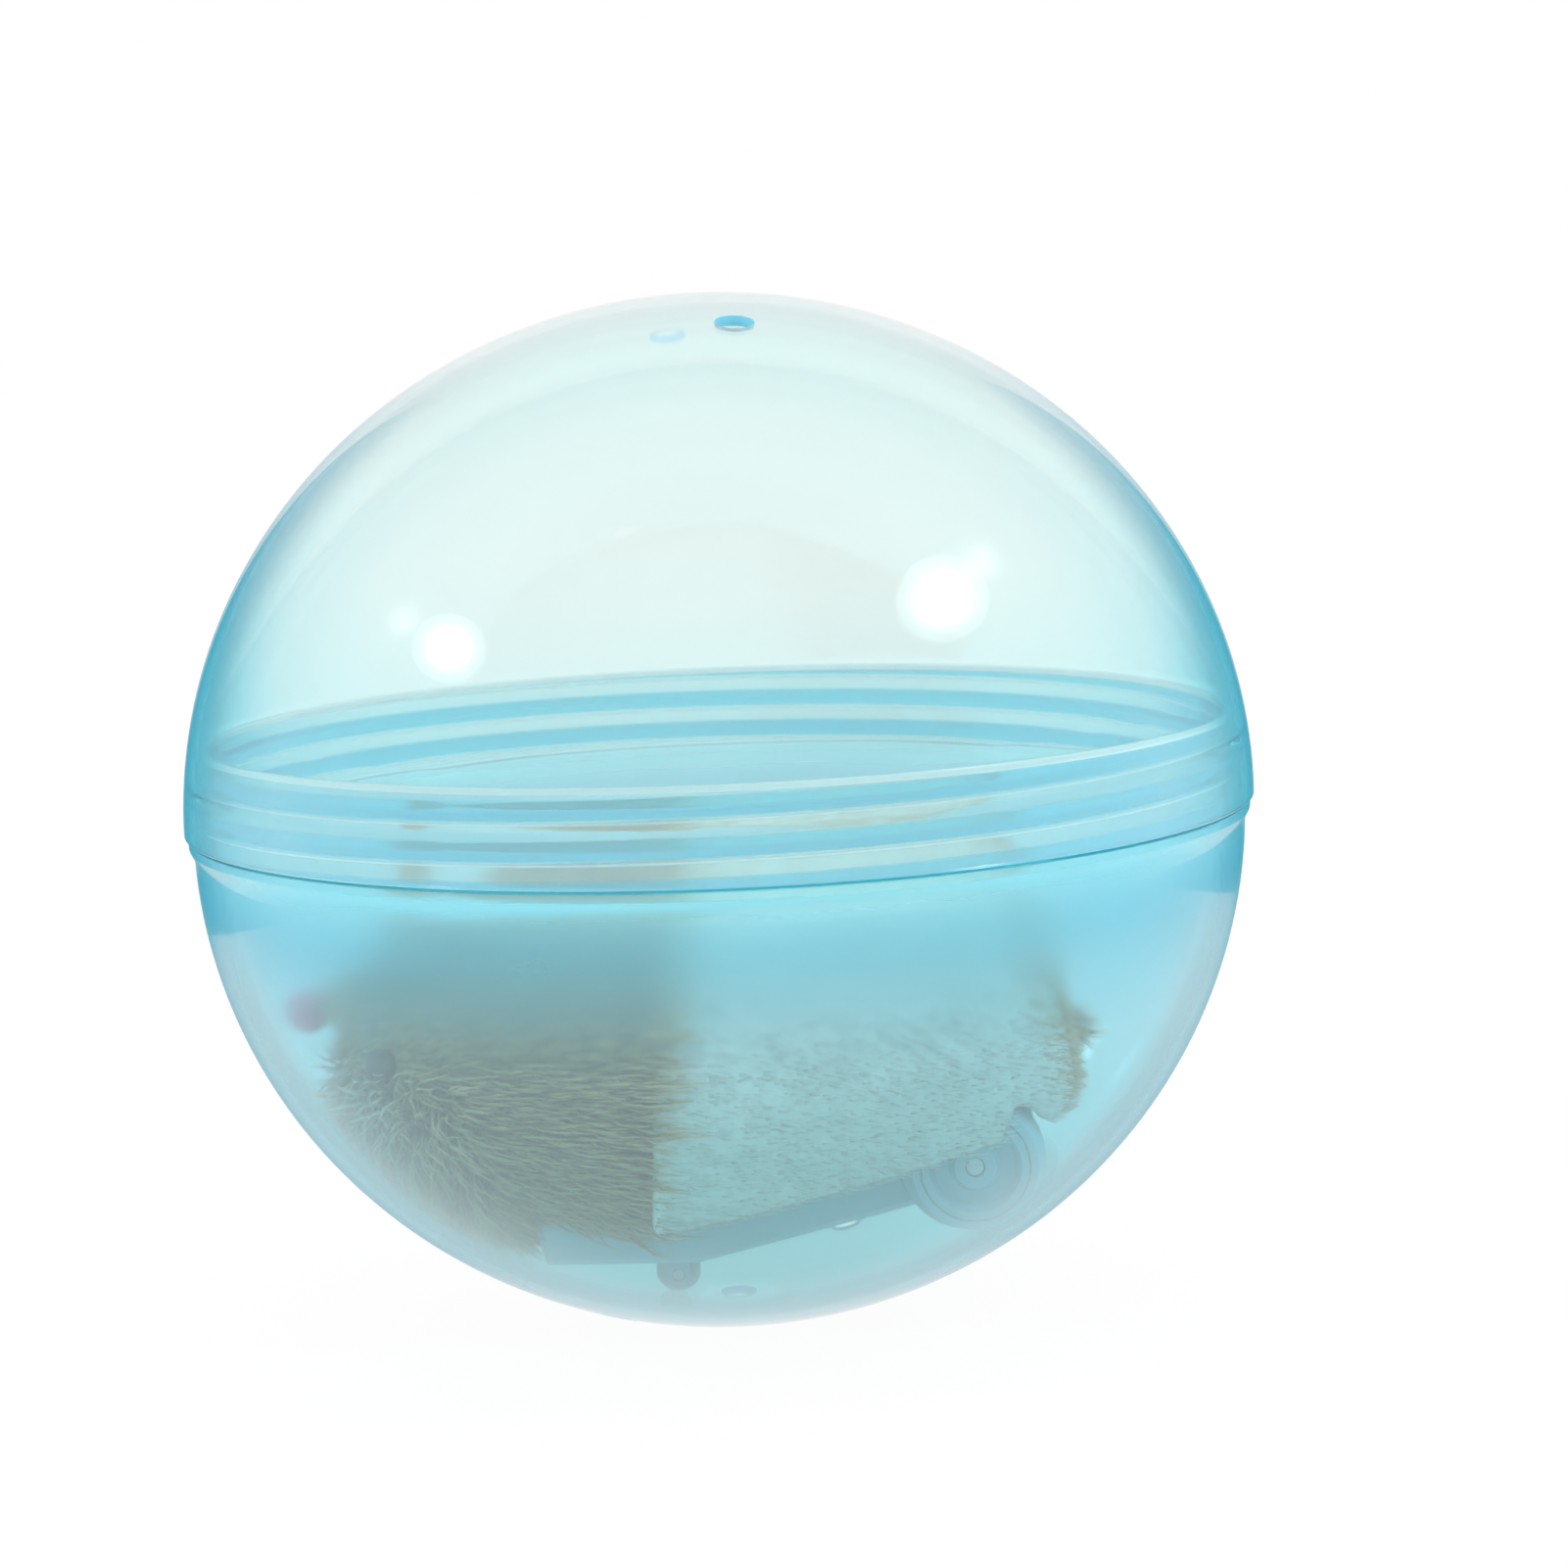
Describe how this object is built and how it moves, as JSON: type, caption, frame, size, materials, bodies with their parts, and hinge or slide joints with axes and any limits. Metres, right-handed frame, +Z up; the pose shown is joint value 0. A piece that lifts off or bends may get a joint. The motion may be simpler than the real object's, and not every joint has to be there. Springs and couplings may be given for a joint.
{
  "type": "motorized hamster ball",
  "caption": "Two-part screw-top ball in hazy clear plastic with a battery-driven plush hamster that runs round inside it.",
  "frame": {"origin": "centre of the ball", "axes": "+Z up along the ball's axis through lid and bowl, +X towards the hamster's tail, +Y towards its right side"},
  "size_m": [0.124, 0.124, 0.12],
  "materials": {
    "ball_clear": "hazy translucent pale blue, polished",
    "chassis_plastic": "moulded blue-grey plastic, satin",
    "dark_plastic": "moulded black plastic",
    "nylon": "natural nylon",
    "tyre_rubber": "matt grey rubber",
    "steel": "plated steel",
    "red_lead": "insulated lead, red",
    "black_lead": "insulated lead, black",
    "white_fur": "short pile plush, off-white with a tan back",
    "tan_fur": "short pile plush, tan",
    "pink_plastic": "glossy pink",
    "black_bead": "glossy black bead"
  },
  "bodies": {
    "ball": {"ball_lower_shell": "ball_clear"},
    "lid": {"ball_upper_shell": "ball_clear"},
    "hamster": {"chassis_base": "chassis_plastic", "chassis_cover": "chassis_plastic", "battery_door": "chassis_plastic", "switch_body": "dark_plastic", "axle_bush_left": "nylon", "axle_bush_right": "nylon", "chassis_screw_1": "steel", "chassis_screw_2": "steel", "chassis_screw_3": "steel", "chassis_screw_4": "steel", "battery_door_screw": "steel", "button_cell_1": "steel", "button_cell_2": "steel", "button_cell_3": "steel", "battery_contact": "steel", "battery_spring": "steel", "motor": "steel", "reduction_pin": "steel", "front_roller_pin": "steel", "battery_lead": "red_lead", "switch_lead": "red_lead", "motor_lead": "black_lead", "plush_body": "white_fur", "plush_head": "tan_fur", "plush_tail": "tan_fur", "ear_left": "tan_fur", "ear_right": "tan_fur", "nose_ball": "pink_plastic", "eye_left": "black_bead", "eye_right": "black_bead"},
    "drive_axle": {"rear_axle": "steel", "axle_gear": "nylon", "drive_wheel_left": "chassis_plastic", "drive_wheel_right": "chassis_plastic", "tyre_left": "tyre_rubber", "tyre_right": "tyre_rubber"},
    "reduction": {"reduction_gear": "nylon"},
    "motor_rotor": {"motor_pinion": "nylon"},
    "roller": {"front_roller": "chassis_plastic"},
    "switch": {"switch_knob": "dark_plastic"}
  },
  "joints": [
    {"name": "lid_lift", "type": "slide", "parent": "ball", "child": "lid", "axis": [0, 0, 1], "range_m": [0, 0.075]},
    {"name": "hamster_roll", "type": "hinge", "parent": "ball", "child": "hamster", "pos_m": [0, 0, 0], "axis": [0, 1, 0], "continuous": true},
    {"name": "axle_spin", "type": "hinge", "parent": "hamster", "child": "drive_axle", "pos_m": [0.0274, 0, -0.0398], "axis": [0, 1, 0], "continuous": true},
    {"name": "reduction_spin", "type": "hinge", "parent": "hamster", "child": "reduction", "pos_m": [0.02195, 0, -0.03395], "axis": [0, 1, 0], "continuous": true},
    {"name": "motor_spin", "type": "hinge", "parent": "hamster", "child": "motor_rotor", "pos_m": [0.01345, 0, -0.03365], "axis": [0, 1, 0], "continuous": true},
    {"name": "roller_spin", "type": "hinge", "parent": "hamster", "child": "roller", "pos_m": [-0.0071, 0, -0.05525], "axis": [0, 1, 0], "continuous": true},
    {"name": "switch_slide", "type": "slide", "parent": "hamster", "child": "switch", "axis": [0.9998, 0, -0.0202], "range_m": [0, 0.003]}
  ],
  "couplings": [
    {"joint": "axle_spin", "follows": "hamster_roll", "ratio": -7.1188},
    {"joint": "reduction_spin", "follows": "hamster_roll", "ratio": 15.661},
    {"joint": "motor_spin", "follows": "hamster_roll", "ratio": -50.9},
    {"joint": "roller_spin", "follows": "hamster_roll", "ratio": -22.022}
  ]
}
